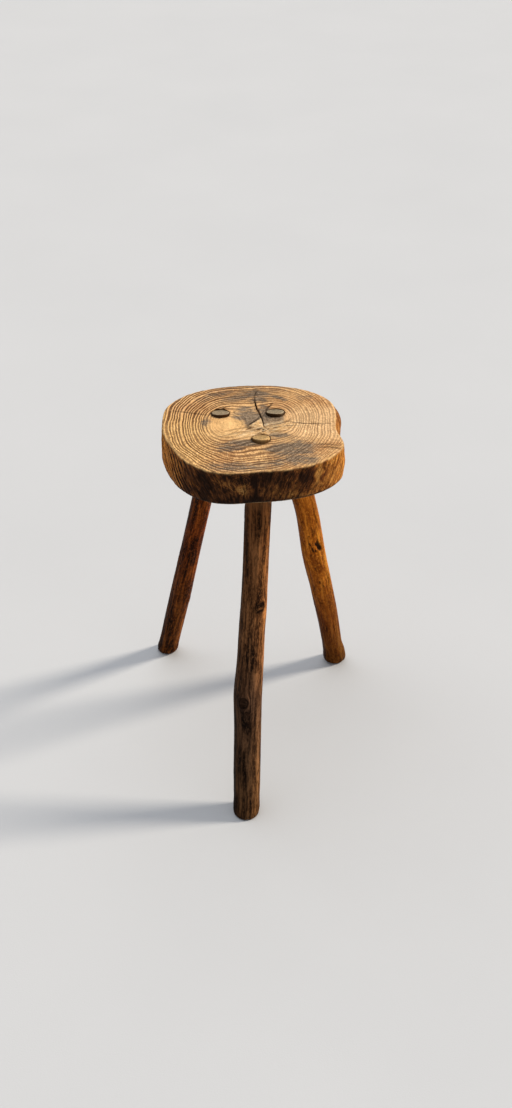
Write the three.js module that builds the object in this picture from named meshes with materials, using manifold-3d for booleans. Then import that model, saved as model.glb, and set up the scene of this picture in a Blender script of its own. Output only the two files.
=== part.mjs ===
// A rustic three-legged milking stool, as it comes apart on a bench: one seat slab sawn across a log,
// and three legs cut from round branches. Each leg's top end is whittled to a round tenon that is driven
// through a raked auger hole in the slab and stands a little proud of the seat. No wedge, glue, stretcher
// or fastener holds it: the shoulder under the slab carries the load and the rake locks the legs.
//
// Millimetres, +Z up, +X to the sitter's right, the lone front leg towards -Y. The floor is z = 0, and the
// finished group's origin is on the floor under the middle of the stool's bounding box.
import * as THREE from "three";
import { mergeVertices } from "three/addons/utils/BufferGeometryUtils.js";
import Module from "manifold-3d";

// ---- driving dimensions ----
const SEAT_TOP = 480; // height of the sitting face
const SEAT_THICKNESS = 48; // the slab, a little under two inches
const AUGER_RADIUS = 12.7; // a one-inch auger bores every mortise
const FIT_GAP = 0.3; // between a tenon and its bore, and a shoulder and the slab
const SHOULDER_LEDGE = 2.4; // how far a shoulder stands out from its tenon
const WHITTLED_LENGTH = 34; // from a leg's full girth up to its shoulder
const LEG_SIDES = 26; // facets round a leg
const SEAT_SIDES = 96; // facets round the slab

const UNDERSIDE = SEAT_TOP - SEAT_THICKNESS;
const TENON_RADIUS = AUGER_RADIUS - FIT_GAP;
const SHOULDER_Z = UNDERSIDE - FIT_GAP;

const wasm = await Module();
wasm.setup();

// The turn in degrees from one bearing to another, between -180 and 180.
function turnBetween(from, to) {
  return THREE.MathUtils.euclideanModulo(to - from + 180, 360) - 180;
}

// ---- booleans ----

// A closed three.js geometry as a manifold-3d solid.
function toSolid(geometry) {
  const bare = geometry.clone();
  bare.deleteAttribute("normal");
  bare.deleteAttribute("uv");
  const merged = mergeVertices(bare, 1e-3);
  return new wasm.Manifold(
    new wasm.Mesh({
      numProp: 3,
      vertProperties: merged.attributes.position.array,
      triVerts: new Uint32Array(merged.index.array),
    }),
  );
}

// A manifold-3d solid as a three.js geometry.
function toGeometry(solid) {
  const mesh = solid.getMesh();
  const geometry = new THREE.BufferGeometry();
  geometry.setAttribute("position", new THREE.BufferAttribute(mesh.vertProperties, 3));
  geometry.setIndex(new THREE.BufferAttribute(mesh.triVerts, 1));
  geometry.computeVertexNormals();
  return geometry;
}

// A LatheGeometry about +Z from [radius, height] pairs that run from the bottom of the axis to its top.
function latheAboutZ(profile, sides) {
  const points = profile.map(([radius, height]) => new THREE.Vector2(radius, height));
  return new THREE.LatheGeometry(points, sides).rotateX(Math.PI / 2);
}

// ---- seat slab ----

// The log's outline in plan: [bearing in degrees, radius] at each lobe and each hollow between lobes.
const SEAT_OUTLINE = [
  [-157, 116],
  [-116, 126],
  [-85, 115],
  [-28, 129.5],
  [0, 110],
  [40, 128],
  [94, 116.5],
  [150, 127],
  [180, 118],
];
const TOP_EDGE_WEAR = 2.6; // radius worn on the sitting face's rim
const LOWER_EDGE_WEAR = 5;
const WALL_BULGE = 1.6; // the bark side swells this much at mid-thickness
// Where the wall stands further out lower down: in the deep hollow on the right, and at the left front.
const WALL_SWELLS = [
  { bearing: 26, spread: 20, reach: 7, depth: 16 },
  { bearing: -145, spread: 21, reach: 4, depth: 40 },
];

// The outline's radius at a bearing: it eases from each listed lobe or hollow to the next.
function outlineRadius(bearing) {
  const count = SEAT_OUTLINE.length;
  for (let i = 0; i < count; i++) {
    const [from, radius] = SEAT_OUTLINE[i];
    const [to, nextRadius] = SEAT_OUTLINE[(i + 1) % count];
    const span = THREE.MathUtils.euclideanModulo(to - from, 360);
    const along = THREE.MathUtils.euclideanModulo(bearing - from, 360);
    if (along > span) continue;
    const ease = (1 - Math.cos((Math.PI * along) / span)) / 2;
    return radius + (nextRadius - radius) * ease;
  }
  return SEAT_OUTLINE[0][1];
}

// How far the slab's wall stands outside the top outline at a bearing and a depth below the top.
function wallOffset(bearing, depth) {
  let offset = WALL_BULGE * Math.sin((Math.PI * depth) / SEAT_THICKNESS);
  for (const swell of WALL_SWELLS) {
    const turn = turnBetween(swell.bearing, bearing) / swell.spread;
    offset += swell.reach * THREE.MathUtils.smoothstep(depth, 0, swell.depth) * Math.exp(-turn * turn);
  }
  return offset;
}

// The slab is a lathe of nominal radius, and each rim vertex is then pushed out to the log's outline.
function slabGeometry() {
  const nominal = 100;
  const arcSteps = 4;
  const profile = [[0, UNDERSIDE]];
  for (let i = 0; i <= arcSteps; i++) {
    const a = (Math.PI / 2) * (i / arcSteps);
    profile.push([
      nominal - LOWER_EDGE_WEAR * (1 - Math.sin(a)),
      UNDERSIDE + LOWER_EDGE_WEAR * (1 - Math.cos(a)),
    ]);
  }
  for (const depth of [36, 27, 18, 9]) profile.push([nominal, SEAT_TOP - depth]);
  for (let i = 0; i <= arcSteps; i++) {
    const a = (Math.PI / 2) * (i / arcSteps);
    profile.push([
      nominal - TOP_EDGE_WEAR * (1 - Math.cos(a)),
      SEAT_TOP - TOP_EDGE_WEAR * (1 - Math.sin(a)),
    ]);
  }
  profile.push([0, SEAT_TOP]);

  const geometry = latheAboutZ(profile, SEAT_SIDES);
  const position = geometry.attributes.position;
  for (let i = 0; i < position.count; i++) {
    const [x, y, z] = [position.getX(i), position.getY(i), position.getZ(i)];
    const fromAxis = Math.hypot(x, y);
    if (fromAxis < 1) continue;
    const bearing = THREE.MathUtils.radToDeg(Math.atan2(y, x));
    const wall = outlineRadius(bearing) + wallOffset(bearing, SEAT_TOP - z);
    const reach = (wall - nominal + fromAxis) / fromAxis;
    position.setXY(i, x * reach, y * reach);
  }
  return geometry;
}

// Drying checks in the heart of the slab: [x, y] along each, its widest opening and its depth. The long one
// runs from the back to behind the front tenon, and the short one branches off it.
const CHECKS = [
  {
    path: [
      [3.1, 85],
      [4.1, 66],
      [6.3, 50],
      [9.9, 35],
      [12.7, 18],
      [16, -3],
    ],
    width: 2.4,
    depth: 30,
  },
  {
    path: [
      [-5, -2.5],
      [2, 8],
      [12.3, 20.5],
    ],
    width: 1.2,
    depth: 9,
  },
];

// A blade-shaped slot that narrows to nothing at both ends of its check.
function checkGeometry({ path, width, depth }) {
  const steps = 14;
  const overshoot = 1;
  const line = new THREE.CatmullRomCurve3(path.map(([x, y]) => new THREE.Vector3(x, y, 0)));
  const right = [];
  const left = [];
  for (let i = 1; i < steps; i++) {
    const middle = line.getPoint(i / steps);
    const along = line.getTangent(i / steps);
    const half = (width / 2) * Math.sin((Math.PI * i) / steps) ** 0.7;
    right.push(new THREE.Vector2(middle.x - along.y * half, middle.y + along.x * half));
    left.unshift(new THREE.Vector2(middle.x + along.y * half, middle.y - along.x * half));
  }
  const [start, end] = [line.getPoint(0), line.getPoint(1)];
  const outline = [new THREE.Vector2(start.x, start.y), ...right, new THREE.Vector2(end.x, end.y), ...left];
  const geometry = new THREE.ExtrudeGeometry(new THREE.Shape(outline), {
    depth: depth + overshoot,
    bevelEnabled: false,
  });
  return geometry.translate(0, 0, SEAT_TOP - depth);
}

// The auger's path for one leg, running past both faces of the slab.
function mortiseGeometry(leg) {
  const overshoot = 25;
  const axis = leg.axis;
  const length = (SEAT_THICKNESS + 2 * overshoot) / axis.z;
  const middle = leg.onAxis((SEAT_TOP + UNDERSIDE) / 2);
  const upright = new THREE.Vector3(0, 1, 0);
  return new THREE.CylinderGeometry(AUGER_RADIUS, AUGER_RADIUS, length, LEG_SIDES)
    .applyQuaternion(new THREE.Quaternion().setFromUnitVectors(upright, axis))
    .translate(middle.x, middle.y, middle.z);
}

function seatSlab(legs) {
  let slab = toSolid(slabGeometry());
  for (const check of CHECKS) slab = slab.subtract(toSolid(checkGeometry(check)));
  for (const leg of legs) slab = slab.subtract(toSolid(mortiseGeometry(leg)));
  return toGeometry(slab);
}

// ---- legs ----

// Each leg is a stack of level sections along a branch's wandering centreline. path holds [x, y, z] from the
// foot up to where the whittling starts, tenon is the centre of its tenon at the sitting face, girth holds
// [height, radius] of the round branch, and knots swell it locally. crown is the tenon's sawn end: how proud
// its middle stands, and how much the cut rises towards the front.
const LEGS = [
  {
    name: "leg_front",
    color: 0x5f422c,
    tenon: [12, -33],
    path: [
      [-8, -218, 0],
      [-6.5, -186, 86],
      [-5.2, -161, 150],
      [-0.6, -129, 233],
      [3.2, -104, 300],
      [6.9, -74.5, 372],
    ],
    girth: [
      [0, 17.6],
      [60, 18.3],
      [150, 18.4],
      [220, 17.6],
      [290, 16.9],
      [372, 17.4],
    ],
    knots: [
      { height: 158, bearing: -140, swell: 2.2, reach: 26, spread: 55 },
      { height: 270, bearing: -15, swell: 1.4, reach: 18, spread: 45 },
    ],
    crown: { proud: 3.2, rise: 0.18 },
  },
  {
    name: "leg_rear_left",
    color: 0x6b4224,
    tenon: [-42, 36],
    path: [
      [-134, 147, 0],
      [-115, 125.5, 95],
      [-94.5, 101.5, 200],
      [-77, 81, 290],
      [-61, 61, 372],
    ],
    girth: [
      [0, 15.1],
      [95, 15.3],
      [200, 14.8],
      [290, 14.3],
      [372, 14.4],
    ],
    knots: [{ height: 130, bearing: -60, swell: 0.9, reach: 22, spread: 50 }],
    crown: { proud: 1.9, rise: 0.14 },
  },
  {
    name: "leg_rear_right",
    color: 0x966528,
    tenon: [31, 38],
    path: [
      [127, 123, 0],
      [116, 108, 80],
      [103, 95.5, 152],
      [88.5, 83, 225],
      [77.5, 70.5, 300],
      [61.5, 57, 372],
    ],
    girth: [
      [0, 15.6],
      [40, 15],
      [80, 15.4],
      [150, 16.2],
      [225, 16.8],
      [310, 16],
      [372, 16.2],
    ],
    knots: [{ height: 17, bearing: -5, swell: 2.4, reach: 15, spread: 60 }],
    crown: { proud: 2.4, rise: 0.15 },
  },
];
const SOLE_WEAR = 4; // how far a foot's rim is rounded
const CROWN_WEAR = 1.1; // the same at the tenon's end

// Adds to a leg's entry the lines that its mortise and its sections follow.
function withLines(entry) {
  const [tenonX, tenonY] = entry.tenon;
  const last = new THREE.Vector3(...entry.path.at(-1));
  const axis = new THREE.Vector3(tenonX, tenonY, SEAT_TOP).sub(last).normalize();
  // The point of the tenon's straight axis at a height.
  const onAxis = (z) => {
    const up = (z - SEAT_TOP) / axis.z;
    return new THREE.Vector3(tenonX, tenonY, SEAT_TOP).addScaledVector(axis, up);
  };
  const points = entry.path.map((point) => new THREE.Vector3(...point));
  const whittlingStart = SHOULDER_Z - WHITTLED_LENGTH;
  points.push(onAxis(whittlingStart), onAxis(UNDERSIDE), onAxis(SEAT_TOP + 20));
  const line = new THREE.CatmullRomCurve3(points);
  // The centreline's point and direction at a height, found by halving.
  const atHeight = (z) => {
    if (z >= whittlingStart) return { middle: onAxis(z), along: axis };
    let [low, high] = [0, 1];
    for (let i = 0; i < 30; i++) {
      const half = (low + high) / 2;
      if (line.getPoint(half).z < z) low = half;
      else high = half;
    }
    return { middle: line.getPoint(low).setZ(z), along: line.getTangent(low) };
  };
  return { ...entry, axis, onAxis, atHeight };
}

// The branch's own radius at a height, eased between its listed girths.
function girthAt(girth, height) {
  const above = girth.findIndex(([z]) => z >= height);
  if (above < 0) return girth.at(-1)[1];
  if (above === 0) return girth[0][1];
  const [z0, r0] = girth[above - 1];
  const [z1, r1] = girth[above];
  return r0 + (r1 - r0) * THREE.MathUtils.smoothstep(height, z0, z1);
}

// How much a leg's knots add to its radius at a height and a bearing.
function knotSwell(knots, height, bearing) {
  let swell = 0;
  for (const knot of knots) {
    const turn = turnBetween(knot.bearing, bearing) / knot.spread;
    const up = (height - knot.height) / knot.reach;
    swell += knot.swell * Math.exp(-up * up - turn * turn);
  }
  return swell;
}

// The straight blank of a leg, as [radius, height] from the middle of the sole to the middle of the crown.
function legProfile(leg) {
  const bodyStep = 17;
  const whittlingStart = SHOULDER_Z - WHITTLED_LENGTH;
  const girth = (z) => girthAt(leg.girth, z);
  const profile = [[0, 0]];
  const arcSteps = 3;
  for (let i = 0; i <= arcSteps; i++) {
    const a = (Math.PI / 2) * (i / arcSteps);
    const z = SOLE_WEAR * (1 - Math.cos(a));
    profile.push([girth(0) - SOLE_WEAR * (1 - Math.sin(a)), z]);
  }
  const bodySteps = Math.round(whittlingStart / bodyStep);
  for (let i = 1; i <= bodySteps; i++) {
    const z = SOLE_WEAR + ((whittlingStart - SOLE_WEAR) * i) / bodySteps;
    profile.push([girth(z), z]);
  }
  const shoulderRadius = TENON_RADIUS + SHOULDER_LEDGE;
  const thirds = [1 / 3, 2 / 3, 1];
  for (const t of thirds) {
    const ease = t * t;
    const z = whittlingStart + WHITTLED_LENGTH * t;
    profile.push([girth(z) + (shoulderRadius - girth(z)) * ease, z]);
  }
  profile.push([TENON_RADIUS, SHOULDER_Z]);
  profile.push([TENON_RADIUS, SEAT_TOP - 4]);
  profile.push([TENON_RADIUS, SEAT_TOP - CROWN_WEAR]);
  profile.push([TENON_RADIUS - CROWN_WEAR, SEAT_TOP]);
  profile.push([0, SEAT_TOP]);
  return profile;
}

// Bends the straight blank along the branch's centreline. A level section of a raked round branch is an
// ellipse, drawn out along the rake, so the sole and the shoulder stay level. The crown's vertices slide
// along the tenon to its sawn plane.
function legGeometry(leg) {
  const geometry = latheAboutZ(legProfile(leg), LEG_SIDES);
  const position = geometry.attributes.position;
  const whittlingStart = SHOULDER_Z - WHITTLED_LENGTH;
  const crownStart = SEAT_TOP - CROWN_WEAR - 0.01;
  for (let i = 0; i < position.count; i++) {
    const offset = new THREE.Vector3(position.getX(i), position.getY(i), 0);
    let z = position.getZ(i);
    const radius = offset.length();
    if (radius > 0 && z < whittlingStart) {
      const bearing = THREE.MathUtils.radToDeg(Math.atan2(offset.y, offset.x));
      offset.setLength(radius + knotSwell(leg.knots, z, bearing));
    }
    const { along } = leg.atHeight(z);
    const rake = new THREE.Vector3(along.x, along.y, 0).normalize();
    offset.addScaledVector(rake, offset.dot(rake) * (1 / along.z - 1));
    if (z > crownStart) {
      const { proud, rise } = leg.crown;
      const lean = leg.axis.y / leg.axis.z;
      z = SEAT_TOP + (z - SEAT_TOP + proud - rise * offset.y) / (1 + rise * lean);
    }
    const { middle } = leg.atHeight(z);
    position.setXYZ(i, middle.x + offset.x, middle.y + offset.y, z);
  }
  geometry.computeVertexNormals();
  return geometry;
}

// ---- assembly ----

const legs = LEGS.map(withLines);
const stool = new THREE.Group();

const seat = new THREE.Mesh(
  seatSlab(legs),
  new THREE.MeshStandardMaterial({ color: 0xb98f5c, roughness: 0.72, metalness: 0 }),
);
seat.name = "seat_slab";
stool.add(seat);

for (const leg of legs) {
  const mesh = new THREE.Mesh(
    legGeometry(leg),
    new THREE.MeshStandardMaterial({ color: leg.color, roughness: 0.6, metalness: 0 }),
  );
  mesh.name = leg.name;
  stool.add(mesh);
}

// The origin goes to the floor under the middle of the bounding box.
const middle = new THREE.Box3().setFromObject(stool, true).getCenter(new THREE.Vector3());
stool.position.set(-middle.x, -middle.y, 0);

export default stool;
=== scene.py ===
"""The looks of a rustic three-legged milking stool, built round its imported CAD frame. Metres, +Z up."""
import math

import bmesh
import bpy
import numpy as np
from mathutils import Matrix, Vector


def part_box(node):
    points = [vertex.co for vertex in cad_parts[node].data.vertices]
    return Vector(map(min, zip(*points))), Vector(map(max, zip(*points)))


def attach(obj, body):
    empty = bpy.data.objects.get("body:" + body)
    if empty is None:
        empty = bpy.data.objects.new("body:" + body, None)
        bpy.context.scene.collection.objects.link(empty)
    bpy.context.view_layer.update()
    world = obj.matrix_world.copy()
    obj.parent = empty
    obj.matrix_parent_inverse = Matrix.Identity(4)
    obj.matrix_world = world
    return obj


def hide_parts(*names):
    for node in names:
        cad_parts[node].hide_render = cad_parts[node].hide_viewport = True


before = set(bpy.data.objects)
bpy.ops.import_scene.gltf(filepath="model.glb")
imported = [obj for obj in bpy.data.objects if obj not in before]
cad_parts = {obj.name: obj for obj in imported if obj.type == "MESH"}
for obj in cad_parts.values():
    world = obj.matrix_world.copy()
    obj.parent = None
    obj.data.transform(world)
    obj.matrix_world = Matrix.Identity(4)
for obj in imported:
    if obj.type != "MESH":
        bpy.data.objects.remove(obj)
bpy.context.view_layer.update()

MM = 0.001
SEAT_CENTRE = np.array([2.664, 36.944]) * MM  # the log outline's own centre
SEAT_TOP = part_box("seat_slab")[1].z
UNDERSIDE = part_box("seat_slab")[0].z
TOP_MM = SEAT_TOP / MM
UNDER_MM = UNDERSIDE / MM
MID_HEIGHT = 456  # mm, half way up the slab
CLEARANCE = 0.3  # mm between a leg's shoulder and the underside
TENON_RADIUS = 12.4  # mm
BORE_RADIUS = 12.7  # mm


# ---- numbers and noise ----

def smooth(value, low, high):
    """0 below low, 1 above high, and an eased rise between."""
    t = np.clip((value - low) / (high - low), 0, 1)
    return t * t * (3 - 2 * t)


def bump_at(value, centre, width):
    """A bell of height 1 at centre."""
    return np.exp(-(((value - centre) / width) ** 2))


def turn_between(a, b):
    """The turn from angle b to angle a, in radians between -pi and pi."""
    return (a - b + math.pi) % (2 * math.pi) - math.pi


def noise(points, seed):
    """Gradient noise, about -1 to 1, at an (n, 3) array of points in cells of size 1."""
    cell = np.floor(points)
    part = points - cell
    fade = part**3 * (part * (part * 6 - 15) + 10)
    cell = cell.astype(np.int64)
    total = np.zeros(len(points))
    for corner in np.ndindex(2, 2, 2):
        x, y, z = (cell + np.array(corner)).T
        key = (x * 73856093 ^ y * 19349663 ^ z * 83492791 ^ seed * 40503) & 0xFFFFFFFF
        key = ((key ^ (key >> 15)) * 2246822519) & 0xFFFFFFFF
        key = ((key ^ (key >> 13)) * 3266489917) & 0xFFFFFFFF
        key ^= key >> 16
        turn = (key & 0xFFFF) * (2 * math.pi / 65536)
        rise = ((key >> 16) & 0xFFFF) / 32767.5 - 1
        level = np.sqrt(1 - rise * rise)
        away = part - np.array(corner)
        slope = (away[:, 0] * np.cos(turn) + away[:, 1] * np.sin(turn)) * level + away[:, 2] * rise
        total += slope * np.prod(np.where(corner, fade, 1 - fade), axis=1)
    return total * 1.7


def layered(points, seed, layers=3, gain=0.5):
    """A sum of noises, each at twice the last one's frequency."""
    return sum(gain**i * noise(points * 2**i, seed + i) for i in range(layers))


def columns(*parts):
    """Numbers and arrays side by side, as the rows of one array."""
    return np.stack(np.broadcast_arrays(*parts), axis=-1).reshape(-1, len(parts))


def noise_at(x, y, z, seed):
    return noise(columns(x, y, z), seed)


def dot_at(x, y, centre_x, centre_y, size):
    """A round bell of height 1 about a place in plan."""
    return bump_at(np.hypot(x - centre_x, y - centre_y), 0, size)


def blob_at(across, up, wide, tall, edge=1.5):
    """An oval bell, flatter on top and steeper at its rim than bump_at."""
    return np.exp(-(((across / wide) ** 2 + (up / tall) ** 2) ** edge))


# ---- the CAD's own rings of vertices, drawn out smooth ----

def cad_points(node):
    return np.array([v.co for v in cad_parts[node].data.vertices])


def middle_of(points, axis=0):
    """The middle of the box round some points."""
    return (points.min(axis) + points.max(axis)) / 2


def level_rings(node, sides, centre, least_radius=0.0):
    """The vertices of a lathed CAD node as (levels, sides, 3), each ring in order from bearing -90."""
    levels = {}
    for point in cad_points(node):
        levels.setdefault(round(point[2] / MM, 1), []).append(point)
    rings = []
    for height in sorted(levels):
        points = np.array(levels[height])
        middle = middle_of(points[:, :2]) if centre is None else centre
        away = points[:, :2] - middle
        radius = np.hypot(*away.T)
        turn = np.arctan2(away[:, 1], away[:, 0]) / (2 * math.pi) + 0.25
        step = np.round(turn * sides).astype(int) % sides
        ring = []
        for k in range(sides):
            mine = np.flatnonzero((step == k) & (radius > least_radius))
            if len(mine) == 0:
                break
            ring.append(points[mine[np.argmax(radius[mine])]])
        if len(ring) == sides:
            rings.append(ring)
    return np.array(rings)


def round_ring(rings, count):
    """Each closed ring redrawn with count points on a smooth curve through its own."""
    sides = rings.shape[1]
    at = np.arange(count) * sides / count
    i = np.floor(at).astype(int)
    t = (at - i)[None, :, None]
    p0, p1, p2, p3 = (rings[:, (i + k) % sides] for k in (-1, 0, 1, 2))
    straight = 2 * p1 + (p2 - p0) * t
    bend = (2 * p0 - 5 * p1 + 4 * p2 - p3) * t**2
    return 0.5 * (straight + bend + (3 * p1 - p0 - 3 * p2 + p3) * t**3)


def stations_of(rings):
    """How far along the surface each ring lies from the first, on average round it."""
    steps = np.linalg.norm(np.diff(rings, axis=0), axis=2).mean(axis=1)
    return np.concatenate([[0], np.cumsum(steps)])


def along_levels(stations, values, at):
    """A smooth curve through values, an array over stations, read at the places at."""
    shape = (-1, *[1] * (values.ndim - 1))
    h = np.diff(stations)
    slope = np.diff(values, axis=0) / h.reshape(shape)
    before, after = h[:-1].reshape(shape), h[1:].reshape(shape)
    inner = (slope[:-1] * after + slope[1:] * before) / (before + after)
    tangent = np.concatenate([slope[:1], inner, slope[-1:]])
    i = np.clip(np.searchsorted(stations, at, side="right") - 1, 0, len(h) - 1)
    wide = h[i].reshape(shape)
    t = ((at - stations[i]) / h[i]).reshape(shape)
    return (
        (2 * t**3 - 3 * t**2 + 1) * values[i]
        + (t**3 - 2 * t**2 + t) * wide * tangent[i]
        + (3 * t**2 - 2 * t**3) * values[i + 1]
        + (t**3 - t**2) * wide * tangent[i + 1]
    )


# ---- meshes ----

def placed(name, data):
    """A new object in the scene, round a mesh, a lamp or a camera."""
    piece = bpy.data.objects.new(name, data)
    bpy.context.scene.collection.objects.link(piece)
    return piece


def new_object(name, points, faces):
    mesh = bpy.data.meshes.new(name)
    mesh.from_pydata(points.tolist(), [], faces)
    mesh.validate()
    return placed(name, mesh)


def positions(piece):
    co = np.empty(len(piece.data.vertices) * 3)
    piece.data.vertices.foreach_get("co", co)
    return co.reshape(-1, 3)


def paint(piece, **fields):
    """Stores numpy fields on the vertices, for the material to read."""
    for name, values in fields.items():
        vector = np.ndim(values) == 2
        layer = piece.data.attributes.new(name, "FLOAT_VECTOR" if vector else "FLOAT", "POINT")
        flat = np.ascontiguousarray(values, np.float32).ravel()
        layer.data.foreach_set("vector" if vector else "value", flat)


def smooth_shade(piece, sharp_degrees):
    piece.data.polygons.foreach_set("use_smooth", [True] * len(piece.data.polygons))
    piece.data.set_sharp_from_angle(angle=math.radians(sharp_degrees))


def strip(rows, count):
    """Quads between successive rings of count vertices, rows of them, numbered from 0."""
    k = np.arange(count)
    after = (k + 1) % count
    faces = []
    for row in range(rows - 1):
        low, high = row * count, (row + 1) * count
        faces += np.stack([low + k, low + after, high + after, high + k], axis=1).tolist()
    return faces


# ---- the seat ----

PITHS = ((-36.0, 8.0), (33.0, 22.0))  # the log forked here, so its rings close round two hearts
RING_COUNT = 22
GRID = 164  # cells across the seat's flat faces
WALL_ROWS = 44
CHECK_LINE = ((3, 85), (4, 66), (6, 50), (10, 35), (13, 18), (16, -3))
BRANCH_LINE = ((-5, -3), (2, 8), (12, 20))
TENONS = {"leg_rear_left": (-42, 36), "leg_rear_right": (31, 38), "leg_front": (12, -33)}
TEAR_OUTS = ((19, 47, 2.4), (-24, 41, 2.2))  # x, y, size
SPLINTERS = ((-37, 50, 2.4), (10, -17, 2.8))  # x, y, size

# Grey weather stains on the sitting face: x, y, length, width, turn in degrees, strength.
STAINS = (
    (-44, 92, 20, 9, 20, 0.7),
    (-20, 78, 26, 9, 16, 0.78),
    (2, 90, 22, 12, -5, 1.12),
    (22, 104, 34, 9, -5, 0.4),
    (6, 74, 18, 10, 0, 0.85),
    (14, 50, 8, 12, 0, 1.0),
    (-6, 47, 15, 10, 0, 1.0),
    (-4, 25, 17, 18, 8, 1.7),
    (5, 13, 19, 17, -10, 2.6),
    (22, 22, 16, 19, 0, 2.6),
    (6, -2, 15, 12, 0, 1.2),
    (-12, -44, 30, 8, 6, 1.15),
    (-30, -58, 20, 8, 10, 0.9),
    (52, -58, 33, 20, 14, 1.2),
    (62, -84, 28, 15, 20, 0.85),
    (-12, -104, 50, 12, 0, 0.7),
    (34, -92, 34, 12, 12, 0.7),
    (34, -24, 16, 9, -10, 0.95),
    (60, -30, 16, 6, 5, 0.5),
    (72, 78, 22, 10, -30, 0.42),
    (36, 80, 5, 13, 70, 0.85),
    (-62, 76, 20, 9, 28, 0.5),
    (-60, 10, 6, 18, -8, 0.8),
)


def outline_of(bearing, level_radii):
    """The outline's radius at each bearing, from one ring of radii that starts at bearing -90 degrees."""
    sides = len(level_radii)
    at = (bearing / (2 * math.pi) + 0.25) % 1 * sides
    i = np.floor(at).astype(int) % sides
    t = at - np.floor(at)
    return level_radii[i] * (1 - t) + level_radii[(i + 1) % sides] * t


CAD_SLAB_SIDES = 96
WORN_EDGE = 2.6  # mm from the flat top's edge out to the wall
SLAB_RINGS = level_rings("seat_slab", CAD_SLAB_SIDES, SEAT_CENTRE, 0.1)
RIM = np.hypot(*(SLAB_RINGS[-1, :, :2] - SEAT_CENTRE).T) / MM + WORN_EDGE


def ring_field(x, y):
    """The growth rings' count outwards at a place in plan, in mm from the outline's centre."""
    close = 24.0
    heart = sum(np.exp(-np.hypot(x - px, (y - py) * 0.60) / close) for px, py in PITHS)
    inner = -close * np.log(heart) / 80
    # Towards the front they are long ovals about one place, which the rim cuts off.
    front = smooth(-y, 38, 92)
    sideways = x - 8 - 14 * np.tanh((x - 8) / 14)
    oval = (np.hypot(sideways, (y - 12) * 0.62) - 12 + 0.12 * x) / 80
    inner = inner * (1 - front) + oval * front
    outer = np.hypot(x, y) / outline_of(np.arctan2(y, x), RIM)
    share = 0.45 * smooth(outer, 0.45, 1.0) * (1 - smooth(-y, 5, 65))
    p = columns(x / 34, y / 34, 0)
    wander = 0.018 * layered(p, 11, 3)
    count = (inner * (1 - share) + outer * share + wander) * RING_COUNT
    # Good years and bad ones.
    return count + 0.2 * np.sin(count * 1.3 + 1) + 0.09 * np.sin(count * 2.9)


def bold_field(x, y):
    """Where the rings are wide and deeply weathered, 0 to 1: the rear left."""
    return smooth(0.55 * y - x, 18, 88) * smooth(y, -40, 25)


def ray_field(x, y):
    """A bearing about the nearer heart, which stays put along a ray across the rings."""
    near = [np.hypot(x - px, y - py) for px, py in PITHS]
    turns = [np.arctan2(y - py, x - px) for px, py in PITHS]
    pick = smooth(near[0] - near[1], -14, 14)
    lean = np.cos(turns[0]) * (1 - pick) + np.cos(turns[1]) * pick
    rise = np.sin(turns[0]) * (1 - pick) + np.sin(turns[1]) * pick
    return np.stack([lean, rise, np.zeros_like(lean)], axis=1)


def line_distance(x, y, line):
    """Each place's distance from a bent line, its nearest point's share of the way along, and its side."""
    points = np.array(line, float)
    lengths = np.hypot(*np.diff(points, axis=0).T)
    best = np.full(x.shape, np.inf)
    along = np.zeros(x.shape)
    side = np.zeros(x.shape)
    run = 0.0
    for a, b, length in zip(points, points[1:], lengths):
        ux, uy = (b - a) / length
        t = np.clip((x - a[0]) * ux + (y - a[1]) * uy, 0, length)
        dx, dy = x - a[0] - t * ux, y - a[1] - t * uy
        d = np.hypot(dx, dy)
        nearer = d < best
        best = np.where(nearer, d, best)
        along = np.where(nearer, (run + t) / lengths.sum(), along)
        side = np.where(nearer, ux * dy - uy * dx, side)
        run += length
    return best, along, np.sign(side)


# Fine surface checks on the sitting face: a bent line, depth in mm, width in mm.
HAIR_CHECKS = (
    (((42, 16), (53, 13), (68, 9), (91, 8), (104, 8)), 1.1, 1.3),
    (((-107, 43), (-82, 37), (-59, 31)), 0.9, 1.2),
    (((17, 46), (22, 55), (27, 65)), 1.4, 1.5),
    (((84, -54), (98, -52), (116, -59)), 1.1, 1.3),
    (((80, -46), (97, -45), (114, -50)), 0.9, 1.2),
    (((42, 8), (53, 26)), 0.7, 1.1),
    (((44, 57), (55, 36)), 0.7, 1.1),
    (((6, 99), (3, 85)), 0.9, 1.2),
    (((16, -4), (14, -11), (13, -17)), 1.2, 1.7),
    (((16, -4), (25, -11), (37, -13)), 1.0, 1.4),
    (((16, -4), (5, -9), (-3, -13)), 0.9, 1.4),
    (((-36, -12), (-14, -4), (4, 0)), 0.7, 1.2),
    (((20, 2), (38, 10), (54, 21)), 0.9, 1.4),
    (((22, -2), (42, 2), (60, 4)), 0.8, 1.3),
    (((-48, -30), (-24, -18), (-2, -12)), 0.6, 1.3),
)

# A sliver that has lifted between the long check and its branch: its corners in plan.
FLAP = ((12, 20), (-6, -4), (16, -8))


def flap_field(x, y, edge):
    """1 inside the lifted sliver and 0 outside, eased over a width of edge mm."""
    inside = np.full(x.shape, 1.0)
    for (ax, ay), (bx, by) in zip(FLAP, FLAP[1:] + FLAP[:1]):
        length = math.hypot(bx - ax, by - ay)
        off = ((bx - ax) * (y - ay) - (by - ay) * (x - ax)) / length
        inside = np.minimum(inside, smooth(off, -edge / 2, edge / 2))
    return inside


def fray_field(x, y):
    """Where the fibres are torn round the long check's foot, 0 to 1."""
    u, v = x - 18, y + 8 - 0.38 * (x - 18)
    return blob_at(u, v, 42, 15, 1.3)


RING_RISE, RING_FALL = 0.8, 0.2  # shares of a growth ring over which its ridge rises and falls


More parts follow.
